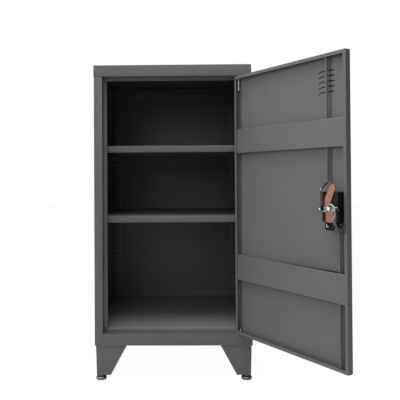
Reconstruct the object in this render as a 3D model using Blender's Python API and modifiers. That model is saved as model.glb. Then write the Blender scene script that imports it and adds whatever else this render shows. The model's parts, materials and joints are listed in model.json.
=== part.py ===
"""Locker cabinet in sheet steel: welded carcass on four legs, two loose shelves, and one inset door
with a three-point lock. Metres, +Z up, front towards -Y. The origin is the middle of the body's
underside. The door is modelled shut, about its hinge line, and then swung open by its empty."""
import math

import bmesh
import bpy
from mathutils import Matrix, Vector

# ---- driving dimensions -------------------------------------------------------------------------
WIDTH = 0.6096            # 24 in carcass
DEPTH = 0.6096            # 24 in carcass
BODY_HEIGHT = 1.085       # underside to the top of the cap
LEG_HEIGHT = 0.115
FOOT_BOTTOM = -0.1342     # 48 in over all

SHEET = 0.0015            # carcass sheet
CAP_SHEET = 0.0010
DOOR_SHEET = 0.0012
LEG_SHEET = 0.0025
GAP = 0.0003              # between pieces that touch

STILE = 0.03175           # width of the front stiles
HEADER = 0.044            # height of the cap's skirt, which is the header over the door
SILL = 0.0415             # height of the sill
RECESS = 0.040            # depth of the door recess behind the front faces
STOP = 0.0137             # how far the door stop stands into the opening
STOP_TOP = 0.0115
FLOOR_TOP = 0.0575        # top surface of the floor pan
FLOOR_UPSTAND = 0.024

LEG_INSET = 0.0040        # leg faces behind the body's faces, at the underside
LEG_INSET_LOW = 0.0070    # and at the foot
LEG_TUCK = 0.010          # how far the legs reach up inside the body's walls
LEG_SPAN = 0.1255         # width of a leg's two faces, at its top edge
LEG_SPAN_LOW = 0.054
FOOT_IN = 0.0225          # foot centre behind the body's faces

DOOR_GAP = 0.0030         # around the door
DOOR_DEPTH = 0.021        # depth of the door tray
DOOR_LIP = 0.0115         # hem turned in around the tray
PIVOT_IN = 0.012          # hinge line from the door's hinge edge
PIVOT_BACK = 0.0078       # hinge line behind the door's outer skin
DOOR_OPEN_DEG = 123.5
PIN_RADIUS = 0.0035
PIN_HOLE = 0.0039
BUSH_RADIUS = 0.0050      # bush body, in the header
BUSH_FLANGE = 0.0058
PIN_SEAT_Z = 1.0010       # bracket that the upper pin's spring stands on
LOUVRE_A = (0.4120, 0.4825)                   # from the hinge edge
LOUVRE_TOP_Z = 0.983
LOUVRE_PITCH = 0.017
LOUVRE_COUNT = 5

PITCH = 0.0254            # shelf slots, one inch apart
SLOT_COUNT = 37
SLOT_Z0 = 0.092
SLOT_HEIGHT = 0.004
POST_SIDE_LEG = 0.070
POST_BACK_LEG = 0.034
SHELF_HEIGHT = 0.026
SHELF_SLOTS = {"lower": 15, "upper": 26}
SHELF_BELOW_SLOT = 0.004
SHELF_FRONT = 0.0610      # shelf front behind the front faces, clear of the lock
STRIP_BACK = 0.006        # front slot strips behind the door stops
STRIP_WIDTH = 0.050
POST_SLOT_IN = 0.050      # middle of a rear post's side slots, from the back
CLIP_HALF = 0.010

ROD_RADIUS = 0.0045
ROD_IN = 0.0115           # rod centre behind the door's outer skin
ROD_A = {"upper": 0.456, "lower": 0.503}      # from the hinge edge
LOCK_A = 0.4935           # lock spindle from the hinge edge
LOCK_Z = 0.546
CASE_HALF = 0.0315        # lock case, to each side of the spindle
CASE_UP = 0.054
CASE_DOWN = 0.040
CASE_FACE = 0.0430        # inner face of the lock case behind the outer skin
ARM = 0.028               # spindle to rod pin
KEY_DOWN = 0.058          # key cylinder below the spindle

# ---- levels and planes that follow --------------------------------------------------------------
HALF = WIDTH / 2
FRONT = -DEPTH / 2
BACK = DEPTH / 2
HEADER_Z = BODY_HEIGHT - HEADER
PANEL_TOP = BODY_HEIGHT - CAP_SHEET - GAP
STILE_X = HALF - STILE                        # edge of the door opening, each side
INNER_X = HALF - SHEET - GAP                  # inside of the side panels
BACK_IN = BACK - 2 * SHEET - 2 * GAP          # inside of the back panel
STOP_Y = FRONT + RECESS                       # rear plane of the door stops
POST_Z = (FLOOR_TOP + 0.001, SLOT_Z0 + (SLOT_COUNT - 1) * PITCH + 0.018)

DOOR_WIDTH = 2 * (STILE_X - DOOR_GAP)
DOOR_Z = (SILL + 0.002, HEADER_Z - DOOR_GAP)
PIVOT_X = STILE_X - DOOR_GAP - PIVOT_IN
PIVOT_Y = FRONT + PIVOT_BACK
CHANNEL_Z = {"upper": (0.739, 0.831), "lower": (0.252, 0.348)}
CHANNEL_FACE = 0.0195                         # channel face behind the outer skin

# depths of the lock's layers behind the outer skin
CAM_IN = (CASE_FACE + 0.0008, CASE_FACE + 0.0033)
ARM_IN = (CAM_IN[1] + 0.0007, CAM_IN[1] + 0.0032)
ROD_END_IN = ARM_IN[1] + 0.0050

# ---- scene and materials ------------------------------------------------------------------------
for leftover in list(bpy.data.objects):
    bpy.data.objects.remove(leftover)

PARTS = bpy.data.collections.new("locker_cabinet")
CUTTERS = bpy.data.collections.new("cutters")
for group in (PARTS, CUTTERS):
    bpy.context.scene.collection.children.link(group)


def material(name, colour, roughness, metallic):
    made = bpy.data.materials.new(name)
    made.use_nodes = True
    shader = made.node_tree.nodes["Principled BSDF"]
    shader.inputs["Base Color"].default_value = (*colour, 1.0)
    shader.inputs["Roughness"].default_value = roughness
    shader.inputs["Metallic"].default_value = metallic
    made.diffuse_color = (*colour, 1.0)
    return made


PAINT = material("grey_powder_coat", (0.105, 0.106, 0.108), 0.55, 0.0)
ZINC = material("zinc_plate", (0.62, 0.62, 0.60), 0.30, 1.0)
COPPER = material("copper_plate", (0.72, 0.36, 0.24), 0.30, 1.0)
BLACK = material("black_enamel", (0.012, 0.012, 0.013), 0.40, 0.0)
BRASS = material("bush_brass", (0.60, 0.48, 0.22), 0.35, 1.0)
STEEL = material("foot_steel", (0.20, 0.20, 0.21), 0.40, 1.0)


# ---- modelling helpers --------------------------------------------------------------------------
def add_object(name, data, look, parent=None, group=PARTS):
    made = bpy.data.objects.new(name, data)
    group.objects.link(made)
    if look:
        data.materials.append(look)
    made.parent = parent
    return made


def mesh_from(bm, name):
    mesh = bpy.data.meshes.new(name)
    bm.to_mesh(mesh)
    bm.free()
    return mesh


def add_box(bm, low, high):
    """A cube primitive stretched between two corners; returns its vertices."""
    low, high = Vector(low), Vector(high)
    size = high - low
    place = Matrix.Translation((low + high) / 2) @ Matrix.Diagonal((*size, 1.0))
    return bmesh.ops.create_cube(bm, size=1.0, matrix=place)["verts"]


def plate(name, low, high, look=PAINT, parent=None):
    bm = bmesh.new()
    add_box(bm, low, high)
    return add_object(name, mesh_from(bm, name), look, parent)


def side_of(face):
    """Which side of the box a face is on, such as "-x"."""
    spread = max(range(3), key=lambda axis: abs(face.normal[axis]))
    return ("+" if face.normal[spread] > 0 else "-") + "xyz"[spread]


def thicken(made, sheet):
    skin = made.modifiers.new("sheet", "SOLIDIFY")
    skin.thickness = sheet
    skin.offset = -1.0
    skin.use_even_offset = True
    return made


def folded(name, low, high, keep, sheet=SHEET, look=PAINT, parent=None, lip=None, reshape=None):
    """Bent sheet: the named sides of a box, thickened inwards. A lip is a hem turned in around the
    first side that isn't kept."""
    bm = bmesh.new()
    add_box(bm, low, high)
    bm.normal_update()
    if reshape:
        reshape(bm)
    dropped = [face for face in bm.faces if side_of(face) not in keep]
    if lip:
        bmesh.ops.inset_individual(bm, faces=dropped, thickness=lip, use_even_offset=True)
    bmesh.ops.delete(bm, geom=dropped, context="FACES")
    return thicken(add_object(name, mesh_from(bm, name), look, parent), sheet)


def add_drum(bm, centre, axis, radius, length, segments=20):
    """A cylinder primitive along an axis, with its middle at the centre."""
    turn = Vector((0, 0, 1)).rotation_difference(Vector(axis)).to_matrix().to_4x4()
    bmesh.ops.create_cone(
        bm, cap_ends=True, segments=segments, radius1=radius, radius2=radius, depth=length,
        matrix=Matrix.Translation(centre) @ turn,
    )


def cutter(name, boxes=(), drums=(), parent=None):
    bm = bmesh.new()
    for low, high in boxes:
        add_box(bm, low, high)
    for centre, axis, radius, length in drums:
        add_drum(bm, centre, axis, radius, length)
    made = add_object(name, mesh_from(bm, name), None, parent, CUTTERS)
    made.hide_render = True
    made.display_type = "WIRE"
    return made


def combine(made, tool, operation="DIFFERENCE"):
    step = made.modifiers.new(operation.lower(), "BOOLEAN")
    step.object = tool
    step.operation = operation
    step.solver = "EXACT"
    return made


def join(name, boxes=(), drums=(), look=PAINT, parent=None):
    """One solid from boxes and drums that overlap."""
    shapes = [cutter(f"{name}_shape_{i}", [box], (), parent) for i, box in enumerate(boxes)]
    shapes += [cutter(f"{name}_drum_{i}", (), [drum], parent) for i, drum in enumerate(drums)]
    made = add_object(name, shapes[0].data.copy(), look, parent)
    for shape in shapes[1:]:
        combine(made, shape, "UNION")
    return made


def turned(name, profile, place, look, parent=None, steps=24):
    """A turned piece about its own Z. The profile runs down the outer side, top to bottom."""
    bm = bmesh.new()
    points = [bm.verts.new((radius, 0.0, height)) for radius, height in profile]
    edges = list(zip(points, points[1:]))
    if profile[0][0] > 0.0:
        edges.append((points[-1], points[0]))
    for pair in edges:
        bm.edges.new(pair)
    made = add_object(name, mesh_from(bm, name), look, parent)
    made.location = place
    screw = made.modifiers.new("turn", "SCREW")
    screw.steps = steps
    screw.render_steps = steps
    screw.use_merge_vertices = True
    screw.merge_threshold = 0.0001
    screw.use_smooth_shade = True
    return made


def wire(name, points, radius, look, parent=None, closed=False, sides=2):
    curve = bpy.data.curves.new(name, "CURVE")
    curve.dimensions = "3D"
    curve.bevel_depth = radius
    curve.bevel_resolution = sides
    curve.use_fill_caps = not closed
    spline = curve.splines.new("POLY")
    spline.points.add(len(points) - 1)
    for point, place in zip(spline.points, points):
        point.co = (*place, 1.0)
    spline.use_cyclic_u = closed
    return add_object(name, curve, look, parent)


def outline(name, points, depth_range, look, parent):
    """A flat plate cut to an outline in the parent's XY plane, between two depths along its Z."""
    curve = bpy.data.curves.new(name, "CURVE")
    curve.dimensions = "2D"
    curve.fill_mode = "BOTH"
    curve.extrude = (depth_range[1] - depth_range[0]) / 2
    spline = curve.splines.new("POLY")
    spline.points.add(len(points) - 1)
    for point, (x, y) in zip(spline.points, points):
        point.co = (x, y, 0.0, 1.0)
    spline.use_cyclic_u = True
    made = add_object(name, curve, look, parent)
    made.location = (0.0, 0.0, sum(depth_range) / 2)
    return made


def empty(name, place, parent=None):
    made = add_object(name, None, None, parent)
    made.empty_display_size = 0.05
    made.location = place
    return made


def arc(centre, radius, start_deg, end_deg, steps):
    """Points on an arc, in the XY plane."""
    angles = [math.radians(start_deg + (end_deg - start_deg) * i / steps) for i in range(steps + 1)]
    return [(centre[0] + radius * math.cos(t), centre[1] + radius * math.sin(t)) for t in angles]


# ---- carcass ------------------------------------------------------------------------------------
def side_panels():
    for side, name in ((-1, "left"), (1, "right")):
        edges = sorted((side * HALF, side * STILE_X))
        outer = "-x" if side < 0 else "+x"
        folded(f"side_panel_{name}", (edges[0], FRONT, 0.0), (edges[1], BACK, PANEL_TOP),
               {outer, "-y", "+y"})


def leg_corners():
    """Each leg's name, the side it is on along X and Y, and its outer corner at the underside."""
    reach = HALF - LEG_INSET
    for x_side, x_name in ((-1, "left"), (1, "right")):
        for y_side, y_name in ((-1, "front"), (1, "rear")):
            yield f"{y_name}_{x_name}", x_side, y_side, (x_side * reach, y_side * reach)


def leg_notches():
    """Cutter boxes that let the two faces of each leg pass up beside the base plate."""
    inner = HALF - LEG_INSET - LEG_SHEET - GAP
    span = LEG_SPAN + GAP
    boxes = []
    for _, x_side, y_side, corner in leg_corners():
        x_wall, x_run = (sorted((x_side * inner, x_side * HALF)),
                         sorted((x_side * HALF, corner[0] - x_side * span)))
        y_wall, y_run = (sorted((y_side * inner, y_side * HALF)),
                         sorted((y_side * HALF, corner[1] - y_side * span)))
        for x, y in ((x_wall, y_run), (x_run, y_wall)):
            boxes.append(((x[0], y[0], -0.01), (x[1], y[1], 0.01)))
    return boxes


def closing_panels():
    plate("back_panel", (-INNER_X, BACK_IN + GAP, 0.0), (INNER_X, BACK_IN + GAP + SHEET, PANEL_TOP))
    base = plate("base_plate", (-INNER_X, FRONT + SHEET + GAP, 0.0), (INNER_X, BACK_IN, SHEET))
    for index, box in enumerate(leg_notches()):
        combine(base, cutter(f"leg_notch_{index}", [box]))
    proud = CAP_SHEET + GAP
    folded("top_cap", (-HALF - proud, FRONT - proud, HEADER_Z), (HALF + proud, BACK + proud, BODY_HEIGHT),
           {"-x", "+x", "-y", "+y", "+z"}, CAP_SHEET)


def rod_hole(end, level):
    """Cutter box for a lock rod's hole in the frame, at a level."""
    x = PIVOT_X + PIVOT_IN - ROD_A[end]
    y = FRONT + ROD_IN
    return (x - 0.009, y - 0.006, level - 0.01), (x + 0.009, y + 0.006, level + 0.01)


def door_frame():
    sill = folded("sill_channel", (-STILE_X + GAP, FRONT, 0.0),
                  (STILE_X - GAP, STOP_Y + 0.004, SILL), {"-y", "+z"})
    combine(sill, cutter("sill_holes", [rod_hole("lower", SILL)],
                         [((PIVOT_X, PIVOT_Y, SILL), (0, 0, 1), PIN_RADIUS + GAP, 0.01)]))

    for side, name in ((-1, "left"), (1, "right")):
        edges = sorted((side * (STILE_X + SHEET), side * (STILE_X - STOP)))
        outer = "-x" if side < 0 else "+x"
        folded(f"jamb_{name}", (edges[0], FRONT + SHEET + GAP, SILL + GAP),
               (edges[1], STOP_Y, HEADER_Z - GAP), {outer, "+y"})

    header = folded("header_channel", (-INNER_X, FRONT + SHEET + GAP, HEADER_Z - STOP_TOP),
                    (INNER_X, STOP_Y, HEADER_Z + SHEET), {"+y", "+z"})
    stop_end = STILE_X - STOP - GAP
    combine(header, cutter("header_notches", [((-HALF, FRONT, 0.9), (-stop_end, 0.0, HEADER_Z)),
                                              ((stop_end, FRONT, 0.9), (HALF, 0.0, HEADER_Z))]))
    combine(header, cutter("header_holes", [rod_hole("upper", HEADER_Z)],
                           [((PIVOT_X, PIVOT_Y, HEADER_Z), (0, 0, 1), BUSH_RADIUS + GAP, 0.01)]))


def floor():
    folded("floor_pan", (-INNER_X, STOP_Y + GAP, SILL + GAP), (INNER_X, BACK_IN - GAP, FLOOR_TOP),
           {"-y", "+z"})
    reach = INNER_X - POST_BACK_LEG - 0.002
    plate("floor_upstand", (-reach, BACK_IN - 2 * GAP - SHEET, FLOOR_TOP + GAP),
          (reach, BACK_IN - 2 * GAP, FLOOR_TOP + FLOOR_UPSTAND))


def slots(low, high):
    """One cutter box at each shelf slot; low and high give its extent across the sheet."""
    half = SLOT_HEIGHT / 2
    levels = [SLOT_Z0 + i * PITCH for i in range(SLOT_COUNT)]
    return [((*low, z - half), (*high, z + half)) for z in levels]


def slotted_posts():
    for side, name in ((-1, "left"), (1, "right")):
        wall = side * INNER_X
        near = sorted((wall - 0.002, wall + 0.002))
        outer = "-x" if side < 0 else "+x"

        strip_y = (STOP_Y + STRIP_BACK, STOP_Y + STRIP_BACK + STRIP_WIDTH)
        strip_x = sorted((wall, wall - side * SHEET))
        strip = plate(f"slot_strip_front_{name}", (strip_x[0], strip_y[0], POST_Z[0]),
                      (strip_x[1], strip_y[1], POST_Z[1]))
        middle = sum(strip_y) / 2
        combine(strip, cutter(f"strip_slots_{name}",
                              slots((near[0], middle - 0.012), (near[1], middle + 0.012))))

        rear = BACK_IN - 2 * GAP
        edges = sorted((wall, wall - side * POST_BACK_LEG))
        post = folded(f"slot_post_rear_{name}", (edges[0], rear - POST_SIDE_LEG, POST_Z[0]),
                      (edges[1], rear, POST_Z[1]), {outer, "+y"})
        across = sorted((wall - side * 0.0045, wall - side * 0.0185))
        holes = slots((near[0], rear - POST_SLOT_IN - 0.012), (near[1], rear - POST_SLOT_IN + 0.012))
        holes += slots((across[0], rear - 0.002), (across[1], rear + 0.002))
        combine(post, cutter(f"post_slots_{name}", holes,
                             [((wall - side * 0.024, rear, POST_Z[1] - 0.008), (0, 1, 0), 0.004, 0.01)]))


def top_rails():
    for side, name in ((-1, "left"), (1, "right")):
        edges = sorted((side * INNER_X, side * (INNER_X - SHEET)))
        plate(f"ceiling_rail_{name}", (edges[0], STOP_Y + 0.004, PANEL_TOP - 0.034),
              (edges[1], BACK_IN - 0.004, PANEL_TOP))
    rail = folded("wall_fixing_rail", (-0.2272, BACK_IN - GAP - 0.012, 1.039),
                  (0.2272, BACK_IN - GAP, 1.063), {"-y", "+z"})
    bolts = [((x, BACK_IN - 0.012, 1.050), (0, 1, 0), 0.0045, 0.02) for x in (-0.187, 0.187)]
    combine(rail, cutter("rail_holes", (), bolts))


def legs_and_feet():
    for place, x_side, y_side, corner in leg_corners():
        inner = (corner[0] - x_side * LEG_SPAN, corner[1] - y_side * LEG_SPAN)
        low = (min(corner[0], inner[0]), min(corner[1], inner[1]), -LEG_HEIGHT)
        high = (max(corner[0], inner[0]), max(corner[1], inner[1]), LEG_TUCK)

        def taper(bm, corner=corner, sides=(x_side, y_side)):
            for vert in bm.verts:
                if vert.co.z < 0.0:
                    for axis, side in enumerate(sides):
                        outer = abs(vert.co[axis] - corner[axis]) < 0.001
                        foot = corner[axis] - side * (LEG_INSET_LOW - LEG_INSET)
                        vert.co[axis] = foot - (0.0 if outer else side * LEG_SPAN_LOW)
            bm.normal_update()

        faces = {"-x" if x_side < 0 else "+x", "-y" if y_side < 0 else "+y", "-z"}
        leg = folded(f"leg_{place}", low, high, faces, LEG_SHEET, reshape=taper)
        foot = (x_side * (HALF - FOOT_IN), y_side * (HALF - FOOT_IN), 0.0)
        combine(leg, cutter(f"foot_hole_{place}", (),
                            [((foot[0], foot[1], -LEG_HEIGHT), (0, 0, 1), 0.0058, 0.02)]))
        turned(f"foot_{place}", [
            (0.0, -0.092), (0.004, -0.092), (0.005, -0.093), (0.005, -0.1158), (0.0095, -0.1158),
            (0.0095, -0.1215), (0.0185, -0.1235), (0.020, -0.1255), (0.020, -0.1325),
            (0.0185, FOOT_BOTTOM), (0.0, FOOT_BOTTOM)], foot, STEEL)


def hinge_seats():
    flange = HEADER_Z + SHEET + GAP
    head = flange + 0.0015
    turned("hinge_bush_upper", [(BUSH_FLANGE, head), (BUSH_FLANGE, flange), (BUSH_RADIUS, flange),
                                (BUSH_RADIUS, HEADER_Z), (PIN_HOLE, HEADER_Z), (PIN_HOLE, head)],
           (PIVOT_X, PIVOT_Y, 0.0), BRASS)
    turned("hinge_pin_lower", [(0.0, 0.062), (0.003, 0.062), (PIN_RADIUS, 0.061), (PIN_RADIUS, 0.0397),
                               (0.0056, 0.0397), (0.0056, 0.0345), (0.0, 0.0345)],
           (PIVOT_X, PIVOT_Y, 0.0), ZINC)
    turned("hinge_washer_lower", [(0.0074, DOOR_Z[0] - GAP), (0.0074, SILL + GAP),
                                  (PIN_HOLE, SILL + GAP), (PIN_HOLE, DOOR_Z[0] - GAP)],
           (PIVOT_X, PIVOT_Y, 0.0), BRASS)


def shelves():
    half = INNER_X - 2 * SHEET - 0.0013
    front, rear = FRONT + SHELF_FRONT, BACK_IN - 2 * GAP - SHEET - 0.002
    for name, slot in SHELF_SLOTS.items():
        slot_z = SLOT_Z0 + slot * PITCH
        under = slot_z - SHELF_BELOW_SLOT
        folded(f"shelf_{name}", (-half, front, under), (half, rear, under + SHELF_HEIGHT),
               {"-x", "+x", "-y", "+y", "+z"}, DOOR_SHEET, lip=0.010)
        for side, side_name in ((-1, "left"), (1, "right")):
            strip_y = STOP_Y + STRIP_BACK + STRIP_WIDTH / 2
            post_y = BACK_IN - 2 * GAP - POST_SLOT_IN
            for y, y_name in ((strip_y, "front"), (post_y, "rear")):
                shelf_clip(f"clip_{name}_{y_name}_{side_name}", side, y, slot_z, under)


def shelf_clip(name, side, y, slot_z, under):
    """A small angle that hooks one tab into a slot, with the shelf on its ledge."""
    post = side * (INNER_X - SHEET - GAP)

    def box(out_from, out_to, half_y, z_low, z_high):
        x = sorted((post + side * out_from, post + side * out_to))
        return (x[0], y - half_y, z_low), (x[1], y + half_y, z_high)

    ledge = under - GAP
    join(name, [box(0.0, -0.0010, CLIP_HALF, ledge - 0.010, slot_z + 0.006),
                box(-0.0002, -0.0150, CLIP_HALF, ledge - 0.0015, ledge),
                box(-0.0005, GAP + 0.0012, CLIP_HALF - 0.001, slot_z - 0.0015, slot_z + 0.0015)],
         look=ZINC)


# ---- door ---------------------------------------------------------------------------------------
def across(a):
    """Door X for a distance from the hinge edge."""
    return PIVOT_IN - a


def inward(n):
    """Door Y for a depth behind the outer skin."""
    return n - PIVOT_BACK


def door_tray(hinge):
    low = (across(DOOR_WIDTH), inward(0.0), DOOR_Z[0])
    high = (across(0.0), inward(DOOR_DEPTH), DOOR_Z[1])
    tray = folded("door_panel", low, high, {"-x", "+x", "-z", "+z", "-y"}, DOOR_SHEET,
                  parent=hinge, lip=DOOR_LIP)
    levels = [LOUVRE_TOP_Z - i * LOUVRE_PITCH for i in range(LOUVRE_COUNT)]
    boxes = [((across(LOUVRE_A[1]), inward(-0.01), z - 0.002),
              (across(LOUVRE_A[0]), inward(0.01), z + 0.002)) for z in levels]
    boxes.append(((across(LOCK_A + 0.014), inward(-0.01), LOCK_Z - 0.030),
                  (across(LOCK_A - 0.014), inward(0.01), LOCK_Z + 0.030)))
    drums = []
    for end, a in (("upper", ROD_A["upper"]), ("lower", ROD_A["lower"])):
        z = DOOR_Z[1] if end == "upper" else DOOR_Z[0]
        drums.append(((across(a), inward(ROD_IN), z), (0, 0, 1), ROD_RADIUS + 0.0006, 0.01))
        drums.append(((0.0, 0.0, z), (0, 0, 1), PIN_HOLE, 0.01))
    drums.append(((across(LOCK_A), inward(0.0), LOCK_Z - KEY_DOWN), (0, 1, 0), 0.0108, 0.01))
    combine(tray, cutter("door_holes", boxes, drums, hinge))


def door_channels(hinge):
    ends = (across(DOOR_WIDTH - DOOR_LIP - 0.0010), across(DOOR_LIP + 0.0010))
    for name, (z_low, z_high) in CHANNEL_Z.items():
        channel = folded(f"channel_{name}", (ends[0], inward(DOOR_SHEET + GAP), z_low),
                         (ends[1], inward(CHANNEL_FACE), z_high),
                         {"+y", "-z", "+z"}, DOOR_SHEET, parent=hinge)
        rod = across(ROD_A[name])
        slot = ((rod - 0.007, inward(0.0), z_low - 0.01),
                (rod + 0.007, inward(ROD_IN + 0.0062), z_high + 0.01))
        combine(channel, cutter(f"channel_slot_{name}", [slot], (), hinge))


def hinge_hardware(hinge):
    bracket = folded("pin_bracket", (-0.0088, inward(DOOR_SHEET + GAP), PIN_SEAT_Z - 0.020),
                     (0.0088, inward(0.0165), PIN_SEAT_Z), {"-y", "+z"}, DOOR_SHEET, PAINT, hinge)
    hole = ((0, 0, PIN_SEAT_Z), (0, 0, 1), PIN_HOLE, 0.01)
    combine(bracket, cutter("bracket_hole", (), [hole], hinge))
    turned("hinge_pin_upper", [
        (0.0, 1.0535), (0.0028, 1.0535), (PIN_RADIUS, 1.0520), (PIN_RADIUS, 1.0320), (0.0058, 1.0320),
        (0.0058, 1.0295), (PIN_RADIUS, 1.0295), (PIN_RADIUS, 0.9935), (0.0, 0.9935)],
        (0.0, 0.0, 0.0), ZINC, hinge)
    turns, per_turn = 6, 10
    low, high, coil = PIN_SEAT_Z + 0.0011, 1.0285, 0.0046
    steps = turns * per_turn
    around = [2 * math.pi * i / per_turn for i in range(steps + 1)]
    helix = [(coil * math.cos(t), coil * math.sin(t), low + (high - low) * i / steps)
             for i, t in enumerate(around)]
    wire("pin_spring", helix, 0.0005, ZINC, hinge, sides=1)
    wire("pin_lever", [(0.0, 0.0, 0.9932), (0.0, 0.0, 0.9880), (-0.0030, 0.0010, 0.9845),
                       (-0.0250, 0.0050, 0.9780)], 0.0032, ZINC, hinge)


def lock_case(lock):
    case = folded("lock_case", (-CASE_HALF, -CASE_DOWN, DOOR_SHEET + GAP),
                  (CASE_HALF, CASE_UP, CASE_FACE), {"-x", "+x", "-y", "+y", "+z"}, 0.0018, BLACK, lock)
    ring_slot = ((-0.026, -CASE_DOWN - 0.01, 0.0330), (-0.006, -CASE_DOWN + 0.005, 0.0390))
    combine(case, cutter("case_holes", [ring_slot],
                         [((0, 0, CASE_FACE), (0, 0, 1), 0.0066, 0.02)], lock))


def lock_cam(turn):
    """Latch cam: a long tongue that swings behind the door stop, and a broad tail below."""
    lean = math.radians(25.0)
    aim = Vector((math.sin(lean), math.cos(lean)))
    side = Vector((math.cos(lean), -math.sin(lean)))
    root = Vector((-0.0125, 0.0155))
    reach, half_tip, half_tail, tail = 0.068, 0.0115, 0.0145, 0.041
    tip_mid = root + aim * (reach - half_tip)
    round_tip = [(tip_mid.x + half_tip * math.cos(t), tip_mid.y + half_tip * math.sin(t))
                 for t in [math.pi * i / 8 - lean for i in range(9)]]
    shoulder_right = tuple(root + side * 0.0140)
    shoulder_left = tuple(root - side * 0.0130)
    low = [(-half_tail, -0.002), (-half_tail, -tail + 0.004), (-half_tail + 0.004, -tail),
           (half_tail - 0.004, -tail), (half_tail, -tail + 0.004), (half_tail, -0.002)]
    outline("latch_cam", [shoulder_right, *round_tip, shoulder_left, *low], CAM_IN, COPPER, turn)


def lock_mechanism(turn):
    lock_cam(turn)
    ends = arc((ARM, 0.0), 0.0090, -90, 90, 8) + arc((-ARM, 0.0), 0.0090, 90, 270, 8)
    outline("cross_arm", ends, ARM_IN, ZINC, turn)
    turned("spindle", [(0.0, CASE_FACE + 0.0003), (0.0060, CASE_FACE + 0.0003), (0.0060, 0.0003),
                       (0.0, 0.0003)], (0, 0, 0), ZINC, turn)
    turned("spindle_nut", [(0.0, ARM_IN[1] + 0.0053), (0.0050, ARM_IN[1] + 0.0053),
                           (0.0085, ARM_IN[1] + 0.0035), (0.0085, ARM_IN[1] + GAP),
                           (0.0, ARM_IN[1] + GAP)], (0, 0, 0), ZINC, turn, steps=6)
    join("outer_handle", [((-0.115, -0.011, -0.034), (0.010, 0.011, -0.022))],
         [((0.0, 0.0, -0.0210), (0, 0, 1), 0.0150, 0.0250)], look=BLACK, parent=turn)


def lock_outside(lock, key_turn):
    guard = plate("escutcheon", (-0.026, -0.078, -0.0080), (0.026, 0.055, -GAP),
                  BLACK, lock)
    combine(guard, cutter("escutcheon_holes", (), [((0, 0, 0), (0, 0, 1), 0.0158, 0.03),
                                                   ((0, -KEY_DOWN, 0), (0, 0, 1), 0.0105, 0.03)], lock))
    turned("key_cylinder", [(0.0, 0.028), (0.0085, 0.028), (0.0090, 0.027), (0.0090, -0.0100),
                            (0.0100, -0.0100), (0.0100, -0.0125), (0.0, -0.0125)],
           (0, 0, 0), ZINC, key_turn)


def lock_rods(hinge):
    """Round rods that step out past the lock case to the ends of the cross arm."""
    for end, side, stop, bend, behind in (("upper", -1, DOOR_Z[1] - 0.0005, 0.024, 0.006),
                                          ("lower", 1, DOOR_Z[0] + 0.0005, -0.028, -0.003)):
        along, pinned = across(ROD_A[end]), across(LOCK_A + side * ARM)
        case_edge = LOCK_Z + (CASE_UP if end == "upper" else -CASE_DOWN)
        step = case_edge + behind
        wire(f"lock_rod_{end}", [
            (along, inward(ROD_IN), stop),
            (along, inward(ROD_IN), step + bend),
            (pinned, inward(ROD_END_IN), step),
            (pinned, inward(ROD_END_IN), LOCK_Z + side * 0.005)], ROD_RADIUS, PAINT, hinge)


def key_ring(lock):
    """A wire ring through a slot in the foot of the lock case."""
    ring = [(x, y, 0.036) for x, y in arc((-0.016, -0.0485), 0.0095, 0, 337.5, 15)]
    wire("key_ring", ring, 0.0010, BLACK, lock, closed=True, sides=1)


def door():
    hinge = empty("door_hinge_line", (PIVOT_X, PIVOT_Y, 0.0))
    hinge.rotation_euler = (0.0, 0.0, math.radians(DOOR_OPEN_DEG))
    lock = empty("lock_frame", (across(LOCK_A), inward(0.0), LOCK_Z), hinge)
    lock.rotation_euler = Matrix(((-1, 0, 0), (0, 0, 1), (0, 1, 0))).to_euler()
    turn = empty("handle_axis", (0, 0, 0), lock)
    key_turn = empty("key_axis", (0.0, -KEY_DOWN, 0.0), lock)
    door_tray(hinge)
    door_channels(hinge)
    hinge_hardware(hinge)
    lock_case(lock)
    lock_mechanism(turn)
    lock_outside(lock, key_turn)
    lock_rods(hinge)
    key_ring(lock)


side_panels()
closing_panels()
door_frame()
floor()
slotted_posts()
top_rails()
legs_and_feet()
hinge_seats()
shelves()
door()
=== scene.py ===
"""Looks of the locker cabinet: rounded sheet metal, the door's pressings and lock, feet, materials,
a pale floor, studio light and the camera. Everything is in metres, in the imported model's frame."""
import json
import math

import bmesh
import bpy
from mathutils import Matrix, Vector


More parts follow.
